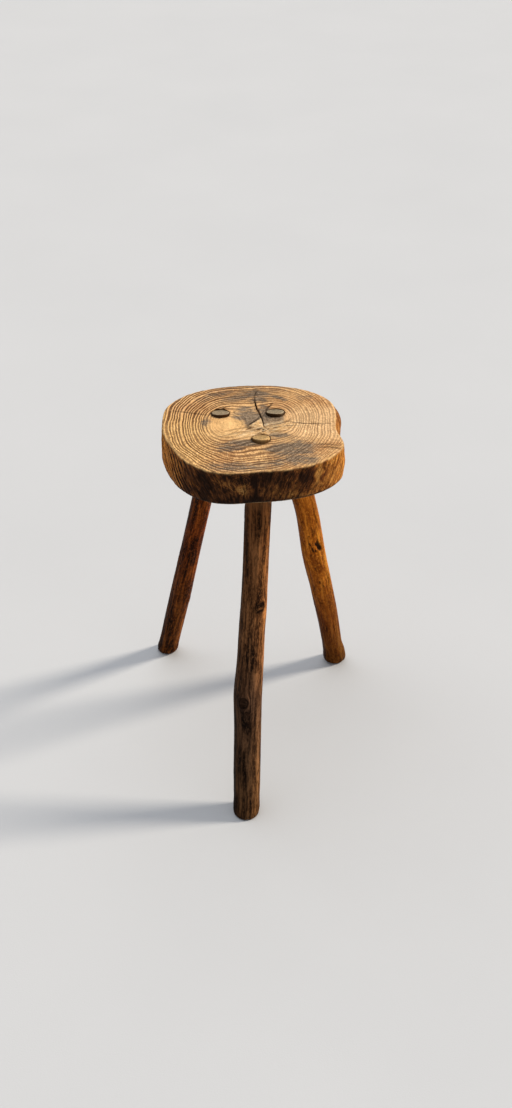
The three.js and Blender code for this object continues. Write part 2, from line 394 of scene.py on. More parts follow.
def top_relief(x, y):
    """How far the sitting face stands above or below its plane, in mm."""
    ring = ring_field(x, y)
    plan = columns(x, y, 0)
    warp = 0.10 * noise(plan / 9, 21)
    phase = (ring + warp) % 1
    rising = 0.5 - 0.5 * np.cos(math.pi * phase / RING_RISE)
    falling = 0.5 + 0.5 * np.cos(math.pi * (phase - RING_RISE) / RING_FALL)
    ridge = np.where(phase < RING_RISE, rising, falling)
    strength = 0.6 + 0.5 * noise(plan / 40, 22) + 0.4 * bold_field(x, y)
    relief = -0.5 * ridge * np.clip(strength, 0.2, 1.3)
    relief += 0.45 * noise(plan / 60, 23) + 0.10 * noise(plan / 6, 24)
    ray = ray_field(x, y) * 16
    rays = columns(ray[:, 0], ray[:, 1], ring / 5)
    relief -= 0.22 * smooth(noise(rays, 25), 0.1, 0.55)
    for line, depth, width in HAIR_CHECKS:
        away, along, _ = line_distance(x, y, line)
        taper = np.sin(math.pi * np.clip(along, 0.03, 0.97)) ** 0.5
        relief -= depth * taper * bump_at(away, 0, width)
    away, along, side = line_distance(x, y, CHECK_LINE)
    lip = np.sin(math.pi * np.clip(along, 0, 1)) * np.exp(-np.maximum(away - 1.2, 0) / 3.2)
    relief += np.where(side < 0, 0.9, 0.25) * lip
    # The lifted sliver is highest along its free edge.
    away, along, _ = line_distance(x, y, BRANCH_LINE)
    relief += flap_field(x, y, 1.6) * (1.0 + 2.4 * np.exp(-away / 4.5))
    # Torn fibres round the long check's foot.
    torn = noise_at((x + 0.38 * y) / 16, (y - 0.38 * x) / 2.6, 0, 26)
    strands = noise_at((x - 15) / 2.4, y / 9.0, 0, 27) * dot_at(x, y, 15, -10, 10)
    relief += 0.8 * torn * fray_field(x, y) + 1.1 * strands
    # Small tear-outs and splinters beside the bores.
    for tx, ty, size in TEAR_OUTS:
        relief -= 1.5 * dot_at(x, y, tx, ty, size)
    for tx, ty, size in SPLINTERS:
        relief += 2.4 * dot_at(x, y, tx, ty, size)
    return relief


def bark_place(x, y, z):
    """Where a fibre of the bark side stands at mid-height: fibres lean outwards either side of the front."""
    bearing = np.arctan2(y, x)
    shift = -np.cos(bearing) * (1.1 - 0.5 * np.cos(bearing)) * (z - MID_HEIGHT)
    return x - shift * np.sin(bearing), y + shift * np.cos(bearing)


def course_field(x, y, z):
    """Counts the bark side's fissures round the log: one may open at the middle of each step."""
    px, py = bark_place(x, y, z)
    return np.arctan2(py, px) * 12.5 + 0.5 * noise_at(px / 22, py / 22, z / 22, 30)


def wall_splits(x, y, z):
    """The bark side's fissures, 0 to 1: long and wide on the left, a few short ones elsewhere."""
    course = course_field(x, y, z)
    off = np.abs(course % 1 - 0.5)
    left = bump_at(turn_between(np.arctan2(y, x), math.radians(-165)), 0, 0.72)
    where = smooth(noise_at(np.floor(course) * 0.73, z / 26, 0, 35), -0.5 * left, 0.2)
    width = 0.12 + 0.09 * left
    return smooth(width - off, 0, width * 0.6) * where * np.maximum(left, 0.35)


# Patches on the front of the bark side: x, height above the underside, half width, half height, and how much
# lighter or darker.
WALL_PATCHES = (
    (-62, 24, 12, 30, -0.24),
    (-44, 34, 10, 8, 0.10),
    (-12, 24, 13, 7, 0.52),
    (-34, 32, 12, 7, 0.16),
    (-20, 4, 40, 7, -0.16),
    (2, 22, 3.5, 30, -0.34),
    (16, 6, 13, 9, -0.10),
    (24, 36, 26, 9, -0.18),
    (44, 12, 15, 8, 0.14),
    (50, 34, 14, 7, 0.04),
    (72, 34, 9, 15, -0.40),
    (85, 32, 6, 15, 0.45),
    (92, 30, 2.4, 18, -0.30),
    (66, 5, 22, 6, 0.20),
)

# Knots under the bark side's front, with growth lines round them: x, height above the underside, reach.
WALL_KNOTS = ((64, -4, 26), (-16, 34, 22))


def wall_relief(x, y, z):
    """How far the bark side stands out or in, in mm, with z in mm from the floor."""
    px, py = bark_place(x, y, z)
    relief = 0.8 * layered(columns(px / 17, py / 17, z / 60), 31, 2)
    relief += 0.30 * noise_at(px / 3.6, py / 3.6, z / 16, 33)
    relief -= 1.6 * wall_splits(x, y, z)
    relief += 0.28 * layered(columns(x / 4.4, y / 4.4, z / 4.4), 36, 2)
    # An axe's flats.
    relief += 0.8 * np.abs(noise_at(x / 26, y / 26, z / 24, 37)) - 0.4
    return relief


def build_seat():
    """The slab: a square grid drawn out to the log's outline on both faces, and rings of quads between."""
    around = 4 * GRID
    rings = round_ring(SLAB_RINGS, around)
    # Redraw the wall evenly from the lower face's rim to the upper face's.
    stations = stations_of(rings)
    wall = along_levels(stations, rings, np.linspace(0, stations[-1], WALL_ROWS))

    # A square grid's cell corners moved to a unit disc, with the rim's corners in the rings' order.
    line = np.linspace(-1, 1, GRID + 1)
    gx, gy = (g.ravel() for g in np.meshgrid(line, line))
    wide = np.abs(gx) > np.abs(gy)
    reach = np.where(wide, gx, gy)
    safe = np.where(reach == 0, 1, reach)
    turn = np.where(wide, gy / safe * (math.pi / 4), math.pi / 2 - gx / safe * (math.pi / 4))
    disc = np.stack([reach * np.cos(turn), reach * np.sin(turn)], axis=1)

    def index_of_rim(k):
        """The grid's corner at step k of the rim, counted from bearing -90 degrees."""
        half = GRID // 2
        side, step = divmod(k + half, GRID)
        side %= 4
        row = GRID + 1
        return (step, row * step + GRID, GRID * row + GRID - step, row * (GRID - step))[side]

    rim_index = np.array([index_of_rim(k) for k in range(around)])
    faces = []
    points = []
    cells = np.arange(GRID * (GRID + 1)).reshape(GRID, GRID + 1)[:, :-1].ravel()
    quad = np.stack([cells, cells + 1, cells + GRID + 2, cells + GRID + 1], axis=1)

    for upper in (False, True):
        rim = wall[-1 if upper else 0]
        away = rim[:, :2] - SEAT_CENTRE
        radii = np.hypot(*away.T)
        bearing = np.arctan2(disc[:, 1], disc[:, 0])
        reach = np.hypot(*disc.T) * outline_of(bearing, radii)
        face = SEAT_CENTRE + np.stack([reach * np.cos(bearing), reach * np.sin(bearing)], axis=1)
        face = np.column_stack([face, np.full(len(face), rim[0, 2])])
        face[rim_index] = rim
        start = sum(len(p) for p in points)
        points.append(face)
        faces += (quad + start if upper else quad[:, ::-1] + start).tolist()
    plate = (GRID + 1) ** 2
    points.append(wall[1:-1].reshape(-1, 3))
    between = 2 * plate + np.arange((WALL_ROWS - 2) * around).reshape(-1, around)
    order = np.concatenate([[rim_index], between, [rim_index + plate]])
    for low, high in zip(order, order[1:]):
        faces += np.stack([low, np.roll(low, -1), np.roll(high, -1), high], axis=1).tolist()
    points = np.concatenate(points)

    # Relief: up and down on the faces, in and out on the wall, shared over the worn edges.
    x, y = ((points[:, :2] - SEAT_CENTRE) / MM).T
    z = points[:, 2] / MM
    bearing = np.arctan2(y, x)
    radius = np.hypot(x, y)
    rim_radius = outline_of(bearing, RIM)
    inset = rim_radius - radius
    height = z - TOP_MM
    depth = z - UNDER_MM
    on_top = smooth(height, -2.2, -0.2) * smooth(inset, -0.5, 2.5)
    on_under = smooth(-depth, -3.0, -0.4) * smooth(inset, 0.0, 5.0)
    on_wall = smooth(-inset, -5.0, 0.0) * (1 - on_top) * (1 - on_under)
    rugged = on_wall * (0.25 + 0.75 * smooth(-height, 1.0, 9.0)) * (0.4 + 0.6 * smooth(depth, 1.0, 12.0))
    lift = np.where(z > MID_HEIGHT, on_top * top_relief(x, y), 0)
    saw = 0.30 * noise_at(x / 2.2, y / 34, 0, 41) + 0.5 * noise_at(x / 45, y / 45, 0, 42)
    lift = np.where(z < MID_HEIGHT, -on_under * (saw + 0.15 * np.sin(ring_field(x, y) * 2 * math.pi)), lift)
    # The underside is flat where the legs' shoulders bear on it.
    for fx, fy in mortise_feet():
        lift = np.where(z < MID_HEIGHT, lift * smooth(np.hypot(x - fx, y - fy), 21, 27), lift)
    nick = smooth(noise_at(x / 7, y / 7, 5, 43), 0.3, 0.8) * bump_at(height, -1.0, 2.2) * on_wall
    out = rugged * wall_relief(x, y, z) - 0.45 * nick
    points[:, 0] += out * np.cos(bearing) * MM
    points[:, 1] += out * np.sin(bearing) * MM
    points[:, 2] += lift * MM
    return new_object("seat", points, faces)


def tube(name, centre, axis, radius, length, sides):
    """A closed round cutter about a point."""
    mesh = bmesh.new()
    bmesh.ops.create_cone(mesh, cap_ends=True, segments=sides, radius1=radius, radius2=radius, depth=length)
    piece = placed(name, bpy.data.meshes.new(name))
    mesh.to_mesh(piece.data)
    mesh.free()
    turn = axis.to_track_quat("Z", "Y").to_matrix().to_4x4()
    turn.translation = centre
    piece.data.transform(turn)
    return piece


def check_cutter(name, line, width, depth, seed, opening=0.0):
    """A blade with ragged sides that narrows to nothing at both ends and towards its foot.

    It starts about a third as wide, and widens over the share of its length that opening gives.
    """
    points = np.array(line, float)
    run = np.concatenate([[0], np.cumsum(np.hypot(*np.diff(points, axis=0).T))])
    count = int(run[-1] / 1.3)
    at = np.linspace(0, run[-1], count + 1)
    middle = along_levels(run, points, at)
    along = np.gradient(middle, axis=0)
    along /= np.linalg.norm(along, axis=1)[:, None]
    across = np.stack([along[:, 1], -along[:, 0]], axis=1)
    share_along = np.arange(count + 1) / count
    half = width / 2 * np.sin(math.pi * share_along) ** 0.6
    if opening:
        half *= 0.34 + 0.66 * smooth(share_along, opening * 0.3, opening)
    rag = noise_at(at / 3.1, seed, 0, seed) * 0.35
    middle = middle + across * (0.5 * noise_at(at / 7.0, seed, 3, seed + 1))[:, None]
    inner, sideways, reach, ragged = (v[1:-1] for v in (middle, across, half, rag))
    loops = []
    for z, share in ((TOP_MM + 3, 1.15), (TOP_MM - depth * 0.5, 0.7), (TOP_MM - depth, 0.25)):
        right = inner + sideways * (reach * share * (1 + ragged))[:, None]
        left = inner - sideways * (reach * share * (1 - ragged))[:, None]
        loop = np.concatenate([middle[:1], right, middle[-1:], left[::-1]])
        loops.append(np.column_stack([loop, np.full(len(loop), z)]))
    n = len(loops[0])
    corners = np.concatenate(loops) * MM
    corners[:, :2] += SEAT_CENTRE
    faces = strip(len(loops), n)
    # Caps as strips across the blade.
    for level, flip in ((0, False), (len(loops) - 1, True)):
        base = level * n
        half_n = n // 2
        for i in range(half_n):
            a, b = base + i, base + i + 1
            c, d = base + (n - i - 1) % n, base + (n - i) % n
            face = [a, b, c] if i == 0 else [a, b, d] if b == c else [a, b, c, d]
            faces.append(face if flip else face[::-1])
    piece = new_object(name, corners, faces)
    skin = bmesh.new()
    skin.from_mesh(piece.data)
    bmesh.ops.recalc_face_normals(skin, faces=skin.faces)
    skin.to_mesh(piece.data)
    skin.free()
    return piece


def leg_axis(node):
    """A tenon's centre at the sitting face and the direction it points, from the CAD's straight tenon."""
    co = cad_points(node)
    at = []
    for z in (SEAT_TOP - 4 * MM, UNDERSIDE - CLEARANCE * MM):
        ring = co[np.abs(co[:, 2] - z) < 0.05 * MM]
        if z < UNDERSIDE:
            middle = middle_of(ring[:, :2])
            ring = ring[np.hypot(*(ring[:, :2] - middle).T) < 13.6 * MM]
        at.append(middle_of(ring))
    high, low = at
    return high, (high - low) / np.linalg.norm(high - low)


def mortise_feet():
    """Where each raked mortise comes out of the underside, in mm from the outline's centre."""
    feet = []
    for node in TENONS:
        high, axis = leg_axis(node)
        foot = high + axis * ((UNDERSIDE - high[2]) / axis[2])
        feet.append((foot[:2] - SEAT_CENTRE) / MM)
    return feet


def cut(piece, cutters):
    """Takes the cutters out of piece and deletes them."""
    for cutter in cutters:
        way = piece.modifiers.new("cut", "BOOLEAN")
        way.operation = "DIFFERENCE"
        way.solver = "MANIFOLD"
        way.object = cutter
    solid = bpy.data.meshes.new_from_object(piece.evaluated_get(bpy.context.evaluated_depsgraph_get()))
    piece.modifiers.clear()
    piece.data = solid
    for cutter in cutters:
        bpy.data.objects.remove(cutter)


def paint_seat(piece):
    """The fields that the seat's material reads."""
    co = positions(piece)
    x, y = ((co[:, :2] - SEAT_CENTRE) / MM).T
    z = co[:, 2] / MM
    bearing = np.arctan2(y, x)
    inset = outline_of(bearing, RIM) - np.hypot(x, y)
    height = z - TOP_MM
    side = smooth(-inset, -2.6, -0.4) * smooth(-height, 0.4, 2.4)
    stain = np.zeros(len(x))
    plan = columns(x, y, 0)
    wx = x + 6 * noise(plan / 17, 51)
    wy = y + 4 * noise(plan / 17, 52)
    for sx, sy, long, short, turn, strength in STAINS:
        c, s = math.cos(math.radians(turn)), math.sin(math.radians(turn))
        u, v = (wx - sx) * c + (wy - sy) * s, -(wx - sx) * s + (wy - sy) * c
        stain = np.maximum(stain, strength * blob_at(u, v, long, short))
    stain = np.maximum(stain, 0.4 * smooth(y, 90, 112))
    flap = flap_field(x, y, 2.4)
    fray = np.maximum(fray_field(x, y), 0.6 * flap)
    stain *= 1 - 0.92 * flap
    # Its two free edges are split clean and pale.
    edge, _, _ = line_distance(x, y, (FLAP[1], FLAP[0], FLAP[2]))
    splint = flap_field(x, y, 1.2) * bump_at(edge, 1.6, 1.9)
    pale = bump_at(np.hypot((wx + 30) / 24, (wy - 6) / 25), 0, 1)
    pale = np.maximum(pale, 0.8 * bump_at(np.hypot((wx + 30) / 34, (wy + 22) / 12), 0, 1))
    stain *= 1 - 0.8 * pale
    near = np.minimum(*(np.hypot(x - px, y - py) for px, py in PITHS))
    ringed = (1 - 0.93 * pale) * (0.2 + 0.8 * smooth(near, 12, 32)) * (1 - 0.35 * smooth(x, 20, 70))
    ringed *= 1 - 0.8 * blob_at(x + 4, y - 42, 22, 17)
    tears = np.zeros(len(x))
    behind_flap = tuple((bx - 2.0, by + 1.9) for bx, by in BRANCH_LINE)
    deep = ((BRANCH_LINE, 1.5, 1.7), (behind_flap, 1.5, 2.1), (CHECK_LINE, 1.5, 1.4))
    for line, depth, width in HAIR_CHECKS + deep:
        away, along, _ = line_distance(x, y, line)
        taper = np.sin(math.pi * np.clip(along, 0.05, 0.95)) ** 0.4
        tears = np.maximum(tears, min(depth, 1.0) * taper * bump_at(away, 0, width * 0.9))
    # Painted shadow round each tenon's bore, darkest on the front-left side, where the tenon's shadow falls.
    for tx, ty in TENONS.values():
        shade = 0.25 + 0.65 * smooth((ty - y) - 0.5 * (x - tx), -8, 8)
        tears = np.maximum(tears, shade * bump_at(np.hypot(x - tx, y - ty), BORE_RADIUS, 1.3))
    for tx, ty, size in TEAR_OUTS:
        tears = np.maximum(tears, dot_at(x, y, tx, ty, size * 0.8))
    # The sitting face's marks stop short of the underside, where only the bores and tenons come through.
    upper = smooth(z - UNDER_MM, 8, 20)
    stain, pale, fray, splint = stain * upper, pale * upper, fray * upper, splint * upper
    ringed = ringed * upper + 0.8 * (1 - upper)
    # Painted shade in the gaps round the legs' shoulders on the underside.
    painted_mouth_shade = np.zeros(len(x))
    for fx, fy in mortise_feet():
        painted_mouth_shade = np.maximum(painted_mouth_shade, 0.6 * bump_at(np.hypot(x - fx, y - fy), BORE_RADIUS + 1.5, 2.0))
    tears = tears * upper + painted_mouth_shade * (1 - upper)
    # Painted shade on the faces inside the bores and the long check.
    inside = smooth(inset, 6, 9) * smooth(-height, 1.6, 3.0) * smooth(z - UNDER_MM, 1.2, 2.4)
    # A pale worn rim round the sitting face, with a painted highlight that makes it stronger on the right.
    rim = bump_at(height, -0.9, 1.3) * bump_at(inset, 0.9, 1.8) * (1 + 0.5 * smooth(x, 60, 95))
    # Where the wall is darkest, and where it is golden or orange, by bearing. The dark front is partly
    # painted shade, and the orange right side partly painted light.
    degrees = np.degrees(bearing)
    cleft = smooth(-degrees, 122, 134) * smooth(np.abs(degrees), 120, 134)
    front_dark_and_painted_shade = smooth(degrees, -141, -129) * smooth(-degrees, 40, 50)
    warm = bump_at(turn_between(bearing, math.radians(-18)), 0, 0.62)
    golden = bump_at(turn_between(bearing, math.radians(-168)), 0, 0.55)
    tone = 0.47 + 0.40 * warm + 0.30 * golden - 0.17 * front_dark_and_painted_shade
    bx = x + 5 * noise_at(x / 11, y / 11, z / 11, 53)
    bz = z - UNDER_MM + 4 * noise_at(x / 13, y / 13, z / 13, 54)
    for at, height_at, wide, tall, change in WALL_PATCHES:
        tone += np.where(y < 0, change, 0) * blob_at(bx - at, bz - height_at, wide, tall)
    swirl = np.zeros(len(x))
    swirled = np.zeros(len(x))
    for at, height_at, extent in WALL_KNOTS:
        far = np.hypot(bx - at, (bz - height_at) * 1.3)
        hold = np.exp(-((far / extent) ** 4))
        nearer = (hold > swirled) & (y < 0)
        swirl = np.where(nearer, far / 3.4, swirl)
        swirled = np.where(nearer, hold, swirled)
    px, py = bark_place(x, y, z)
    # The brightest wood, on the left and at the torn fibres.
    sunny = np.maximum(smooth(-x, 30, 85) * smooth(60 - y, 0, 70), fray)
    weave = np.maximum(smooth(-0.5 * x - y, 20, 70), 0.8 * smooth(x, 40, 80))
    paint(
        piece,
        ring=ring_field(x, y),
        ray=ray_field(x, y),
        side=side,
        under=smooth(UNDER_MM + 2 - z, 0, 2) * smooth(inset, 3, 9),
        # Painted shade along the slab's lower edge.
        lower_edge=smooth(UNDER_MM + 7 - z, 0, 6) * smooth(9 - inset, 0, 6),
        swirl=swirl,
        swirled=swirled,
        course=course_field(x, y, z),
        stain=stain,
        pale=pale,
        tears=tears,
        inside=inside,
        rim=rim,
        tone=np.clip(tone, -0.2, 1.2),
        warm=warm,
        golden=golden,
        split=wall_splits(x, y, z) * side,
        cleft=np.maximum(cleft, 0.35 * front_dark_and_painted_shade),
        bark=np.stack([px, py, z], axis=1) * MM,
        fray=fray,
        splint=splint,
        strand=np.stack([(x + 0.38 * y) / 14, (y - 0.38 * x) / 2.1, x / 60], axis=1),
        bold=bold_field(x, y),
        sunny=sunny,
        rosy=smooth(x, 25, 70) * smooth(y, -50, -10) * smooth(70 - y, 0, 40),
        weave=weave,
        coarse=smooth(-0.6 * x - y, 10, 60),
        ringed=ringed,
    )


# ---- the legs ----

# The crown's worn edge: mm below the sawn plane, and mm from the tenon's axis.
CROWN_EDGE = ((3.0, 12.1), (1.9, 11.95), (1.25, 11.8), (0.7, 11.5), (0.3, 11.1), (0.08, 10.6), (0.0, 10.0))
KNIFE_FACETS = 9
LEG_AROUND = 108
LEG_STEP = 1.25  # mm between rings of vertices
CAD_LEG_SIDES = 26

# Knots: height and bearing, radius, how proud the collar is, and how deep the eye is, in mm and degrees.
LEGS = {
    "leg_front": dict(
        seed=100,
        knots=((281, -60, 5.0, 1.1, 1.4), (159, -106, 6.2, 1.3, 1.2), (147, -90, 3.4, 0.5, 0.7)),
        gouges=(),
        slot="front_leg_wood",
        flute=0.55,
        sunk=0.8,
        tipped=0.10,
    ),
    "leg_rear_left": dict(
        seed=200,
        knots=((118, -20, 4.0, 0.7, 0.9),),
        gouges=(),
        slot="left_leg_wood",
        flute=0.45,
        sunk=0.9,
        tipped=0.11,
    ),
    "leg_rear_right": dict(
        seed=300,
        knots=((343, 150, 4.5, 0.8, 1.0),),
        gouges=(
            # height, bearing, half height, half width, depth
            (249, -53, 10.0, 3.8, 3.4),
            (252, -68, 3.5, 2.2, 1.6),
            (243, -88, 5.5, 1.6, 1.3),
            (253, -98, 4.0, 1.5, 1.2),
            (240, -74, 3.0, 1.8, 1.2),
            (232, -99, 2.6, 1.5, 0.9),
            (205, -92, 4.0, 1.2, 0.8),
            (178, -88, 3.4, 1.6, 1.0),
            (170, -72, 2.6, 1.3, 0.9),
            (162, -96, 2.6, 1.4, 0.8),
        ),
        slot="right_leg_wood",
        flute=0.5,
        sunk=0.9,
        tipped=0.11,
    ),
}


def leg_fields(x, y, z, entry):
    """Relief and the material's fields, at offsets x, y from a leg's centreline and heights z, all in mm."""
    seed = entry["seed"]
    radius = np.hypot(x, y)
    bearing = np.arctan2(y, x)
    wander = 0.10 * noise_at(z / 60, seed, 0, seed + 1)
    turned = bearing + wander
    eye = np.full(len(z), 9.0)
    collar = np.zeros(len(z))
    pit = np.zeros(len(z))
    for height, at, size, proud, deep in entry["knots"]:
        across = radius * turn_between(bearing, math.radians(at))
        up = (z - height) / 1.25
        far = np.hypot(across, up)
        # The grain parts round the knot like a stream round a stone.
        kept = 1 - np.clip(size * size / np.maximum(far * far, size * size * 0.2), 0, 1)
        turned = turned - (1 - kept) * across / radius * bump_at(far, 0, size * 3.2)
        eye = np.minimum(eye, far / size)
        collar += proud * bump_at(far, size * 0.95, size * 0.42)
        wave = np.cos(far * 5.2 / size * 1.9)
        pit += deep * bump_at(far, 0, size * 0.45) + 0.25 * deep * wave * bump_at(far, 0, size)
    gouge = np.zeros(len(z))
    for height, at, tall, wide, deep in entry["gouges"]:
        across = radius * turn_between(bearing, math.radians(at)) + 0.12 * (z - height)
        up = (z - height) / tall
        narrowing = wide * np.clip(0.75 - 0.45 * up, 0.15, 1.2)
        gouge = np.maximum(gouge, deep * smooth(1.25 - np.hypot(across / narrowing, up), 0, 0.5))
    gx, gy = radius * np.cos(turned), radius * np.sin(turned)
    relief = entry["flute"] * layered(columns(gx / 11, gy / 11, z / 95), seed + 2, 2)
    ridges = noise_at(gx / 3.0, gy / 3.0, z / 60, seed + 4)
    relief += 0.30 * ridges
    furrow = noise_at(gx / 4.4, gy / 4.4, z / 48, seed + 5)
    where = smooth(noise_at(gx / 18, gy / 18, z / 50, seed + 6), -0.2, 0.35)
    furrow = smooth(0.075 - np.abs(furrow), 0, 0.075) * where
    relief -= 0.75 * furrow
    relief += 0.12 * noise_at(gx / 1.5, gy / 1.5, z / 12, seed + 7)
    relief += collar - pit - gouge
    grain = np.stack([gx, gy, z], axis=1) * MM
    return relief, dict(grain=grain, eye=eye, furrow=furrow, gouge=np.clip(gouge / 1.2, 0, 1), high=ridges)


def build_leg(node):
    """A leg as one closed skin: sole, branch, whittled shoulder, tenon and sawn crown."""
    entry = LEGS[node]
    seed = entry["seed"]
    rings = level_rings(node, CAD_LEG_SIDES, None)
    heights = rings[:, :, 2].mean(axis=1) / MM
    shoulder = UNDER_MM - CLEARANCE
    body = rings[heights < shoulder + 0.05]
    body = round_ring(body, LEG_AROUND)
    stations = stations_of(body)
    fine = along_levels(stations, body, np.linspace(0, stations[-1], int(stations[-1] / (LEG_STEP * MM))))
    sole_centre = middle_of(fine[0])

    high, axis = leg_axis(node)
    turn = -math.pi / 2 + 2 * math.pi * np.arange(LEG_AROUND) / LEG_AROUND

    def section(z, radius):
        """A level section of the tenon."""
        middle = high + axis * ((z - high[2]) / axis[2])
        offset = np.stack([np.cos(turn), np.sin(turn)], axis=1) * np.reshape(radius, (-1, 1))
        rake = axis[:2] / np.linalg.norm(axis[:2])
        offset += np.outer(offset @ rake, rake) * (1 / axis[2] - 1)
        return np.column_stack([middle[:2] + offset, np.full(LEG_AROUND, z)])

    rows = []
    kinds = []

    def add(row, kind):
        rows.append(row)
        kinds.append(kind)

    sole = fine[0]
    for share in np.linspace(0.08, 1, 10)[:-1]:
        add(sole_centre + (sole - sole_centre) * share, "sole")
    for row in fine:
        add(row, "body")
    edge = fine[-1]
    ledge = section(edge[0, 2], TENON_RADIUS * MM)
    for share in (0.35, 0.7):
        add(edge + (ledge - edge) * share, "ledge")
    top = SEAT_TOP - 4 * MM
    for z in np.linspace(edge[0, 2], top, int((top - edge[0, 2]) / (2.2 * MM))):
        add(section(z, TENON_RADIUS * MM), "tenon")
    # The sawn crown: its plane comes from the CAD's own crown vertices.
    co = cad_points(node)
    crown = co[co[:, 2] > SEAT_TOP - 2 * MM]
    middle = middle_of(crown[:, :2])
    inner = crown[np.hypot(*(crown[:, :2] - middle).T) < 11.9 * MM]
    tilt, *_ = np.linalg.lstsq(np.column_stack([inner[:, :2], np.ones(len(inner))]), inner[:, 2], rcond=None)

    def on_crown(radius, below):
        """A ring of the crown: where a line up the tenon meets the sawn plane, less a depth below it."""
        base = section(SEAT_TOP, radius)
        lean = axis[:2] / axis[2]
        rise = (base[:, :2] @ tilt[:2] + tilt[2] - base[:, 2]) / (1 - lean @ tilt[:2])
        base[:, :2] += np.outer(rise, lean)
        base[:, 2] += rise
        # It sinks along the raked tenon, so that it stays clear of the bore.
        drop = (below + entry["sunk"]) * MM + entry["tipped"] * (base[:, 1] - middle[1])
        base[:, :2] -= np.outer(drop, lean)
        base[:, 2] -= drop
        return base

    for below, radius in CROWN_EDGE:
        ring = on_crown(radius * MM, below)
        if below > 2:
            short = np.maximum(rows[-1][:, 2] + 0.15 * MM - ring[:, 2], 0)
            ring[:, :2] += np.outer(short, axis[:2] / axis[2])
            ring[:, 2] += short
        add(ring, "edge")
    for radius in np.linspace(9.3, 1.0, 9):
        add(on_crown(radius * MM, 0.0), "crown")

    count = LEG_AROUND
    grid = np.array(rows)
    kind = np.array(kinds)
    # The centre line at every row, as the middle of its own ring.
    core = middle_of(grid, 1)
    core[kind == "sole"] = sole_centre
    away = grid - core[:, None]
    x, y, z = (v.ravel() / MM for v in (away[..., 0], away[..., 1], grid[..., 2]))
    flat_kind = np.repeat(kind, count)
    relief, fields = leg_fields(x, y, z, entry)
    radius = np.maximum(np.hypot(x, y), 0.01)
    body_part = flat_kind == "body"
    # Knife facets where the leg is whittled down to its shoulder.
    bearing = np.arctan2(y, x)
    cutting = smooth(z, shoulder - 36, shoulder - 22)
    spin = bearing + 0.5 * noise_at(z / 16, seed, 9, seed + 9)
    facet = (np.cos((spin * KNIFE_FACETS) % (2 * math.pi) - math.pi) + 1) / 2
    carved = -0.75 * facet + 0.3 * noise_at(x / 6, y / 6, z / 14, seed + 8)
    relief = relief * (1 - 0.8 * cutting) + carved * cutting
    # No relief where the branch meets the sole and the shoulder.
    fade = smooth(z, 0.3, 4.0) * smooth(shoulder - z, 0.0, 5.0)
    out = np.where(body_part, relief * fade, 0)
    chip = smooth(noise_at(bearing * 2.4, seed, 7, seed + 10), 0.25, 0.7)
    out -= np.where(body_part, 1.0 * chip * bump_at(z, 2.0, 3.2), 0)
    proud = smooth(z, TOP_MM - 1.5, TOP_MM + 0.8)
    out += np.where(flat_kind == "edge", -0.35 * proud * np.abs(noise_at(x / 4, y / 4, z / 5, seed + 11)), 0)
    grid = grid.reshape(-1, 3)
    grid[:, 0] += out * x / radius * MM
    grid[:, 1] += out * y / radius * MM
    # End grain on the crown and the sole.
    years = np.sin((radius + 0.8 * noise_at(x / 6, y / 6, 0, seed + 12)) * 2 * math.pi / 2.1)
    rough = 0.10 * years + 0.16 * noise_at(x / 2.2, y / 2.2, 0, seed + 13)
    rough += 0.25 * noise_at(x / 9, y / 9, 1, seed + 14)
    grid[:, 2] += np.where(flat_kind == "crown", rough * smooth(11 - radius, 0, 2), 0) * MM
    grid[:, 2] += np.where(flat_kind == "sole", 0.25 * np.abs(rough) * smooth(13 - radius, 0, 2), 0) * MM
    if node == "leg_front":
        # A sliver has split off the crown's right edge.
        split = 1.6 * smooth(x, 8.6, 9.4) * smooth(z, TOP_MM + 0.3, TOP_MM + 1.5)
        grid[:, 2] -= np.where(np.isin(flat_kind, ("crown", "edge")), split, 0) * MM

    ends = np.array([grid[:count].mean(axis=0), grid[-count:].mean(axis=0)])
    points = np.concatenate([grid, ends])
    faces = strip(len(rows), count)
    last = (len(rows) - 1) * count
    k = np.arange(count)
    after = (k + 1) % count
    bottom, crest = len(grid), len(grid) + 1
    faces += np.stack([np.full(count, bottom), after, k], axis=1).tolist()
    faces += np.stack([np.full(count, crest), last + k, last + after], axis=1).tolist()
    piece = new_object(node + "_wood", points, faces)

    def with_ends(values, first, final):
        return np.concatenate([values, [first, final]])

    def on_branch(values, elsewhere=0):
        """Values down the branch, and one value on the rest of the leg."""
        return with_ends(np.where(body_part, values, elsewhere), elsewhere, elsewhere)

    end = np.isin(flat_kind, ("crown", "sole")) * 1.0 + (flat_kind == "edge") * smooth(11.4 - radius, 0, 0.8)
    # Where the tenon's sides are painted in shade.
    tenon = np.isin(flat_kind, ("crown", "edge", "tenon", "ledge")) * 1.0
    # A paler rim where the crown stands proud: partly wear, partly painted highlight.
    worn = (flat_kind == "edge") * bump_at(radius, 10.9, 0.6) * proud
    grain = np.stack([x, y, z], axis=1) * MM
    grain = np.where(body_part[:, None], fields["grain"], grain)
    grain = np.concatenate([grain, [[0, 0, z[0] * MM], [0, 0, z[-1] * MM]]])
    paint(
        piece,
        grain=grain,
        eye=on_branch(fields["eye"], 9),
        furrow=on_branch(fields["furrow"] * fade),
        gouge=on_branch(fields["gouge"]),
        high=on_branch(fields["high"]),
        end=with_ends(np.clip(end, 0, 1), 1, 1),
        tenon=with_ends(tenon, 0, 1),
        worn=with_ends(worn, 0, 0),
        cutting=on_branch(cutting),
        height=with_ends(z * MM, 0, SEAT_TOP),
    )
    return piece


# ---- materials ----

def faded(colour, share):
    """A colour at a share of its brightness."""
    return tuple(c * share for c in colour)


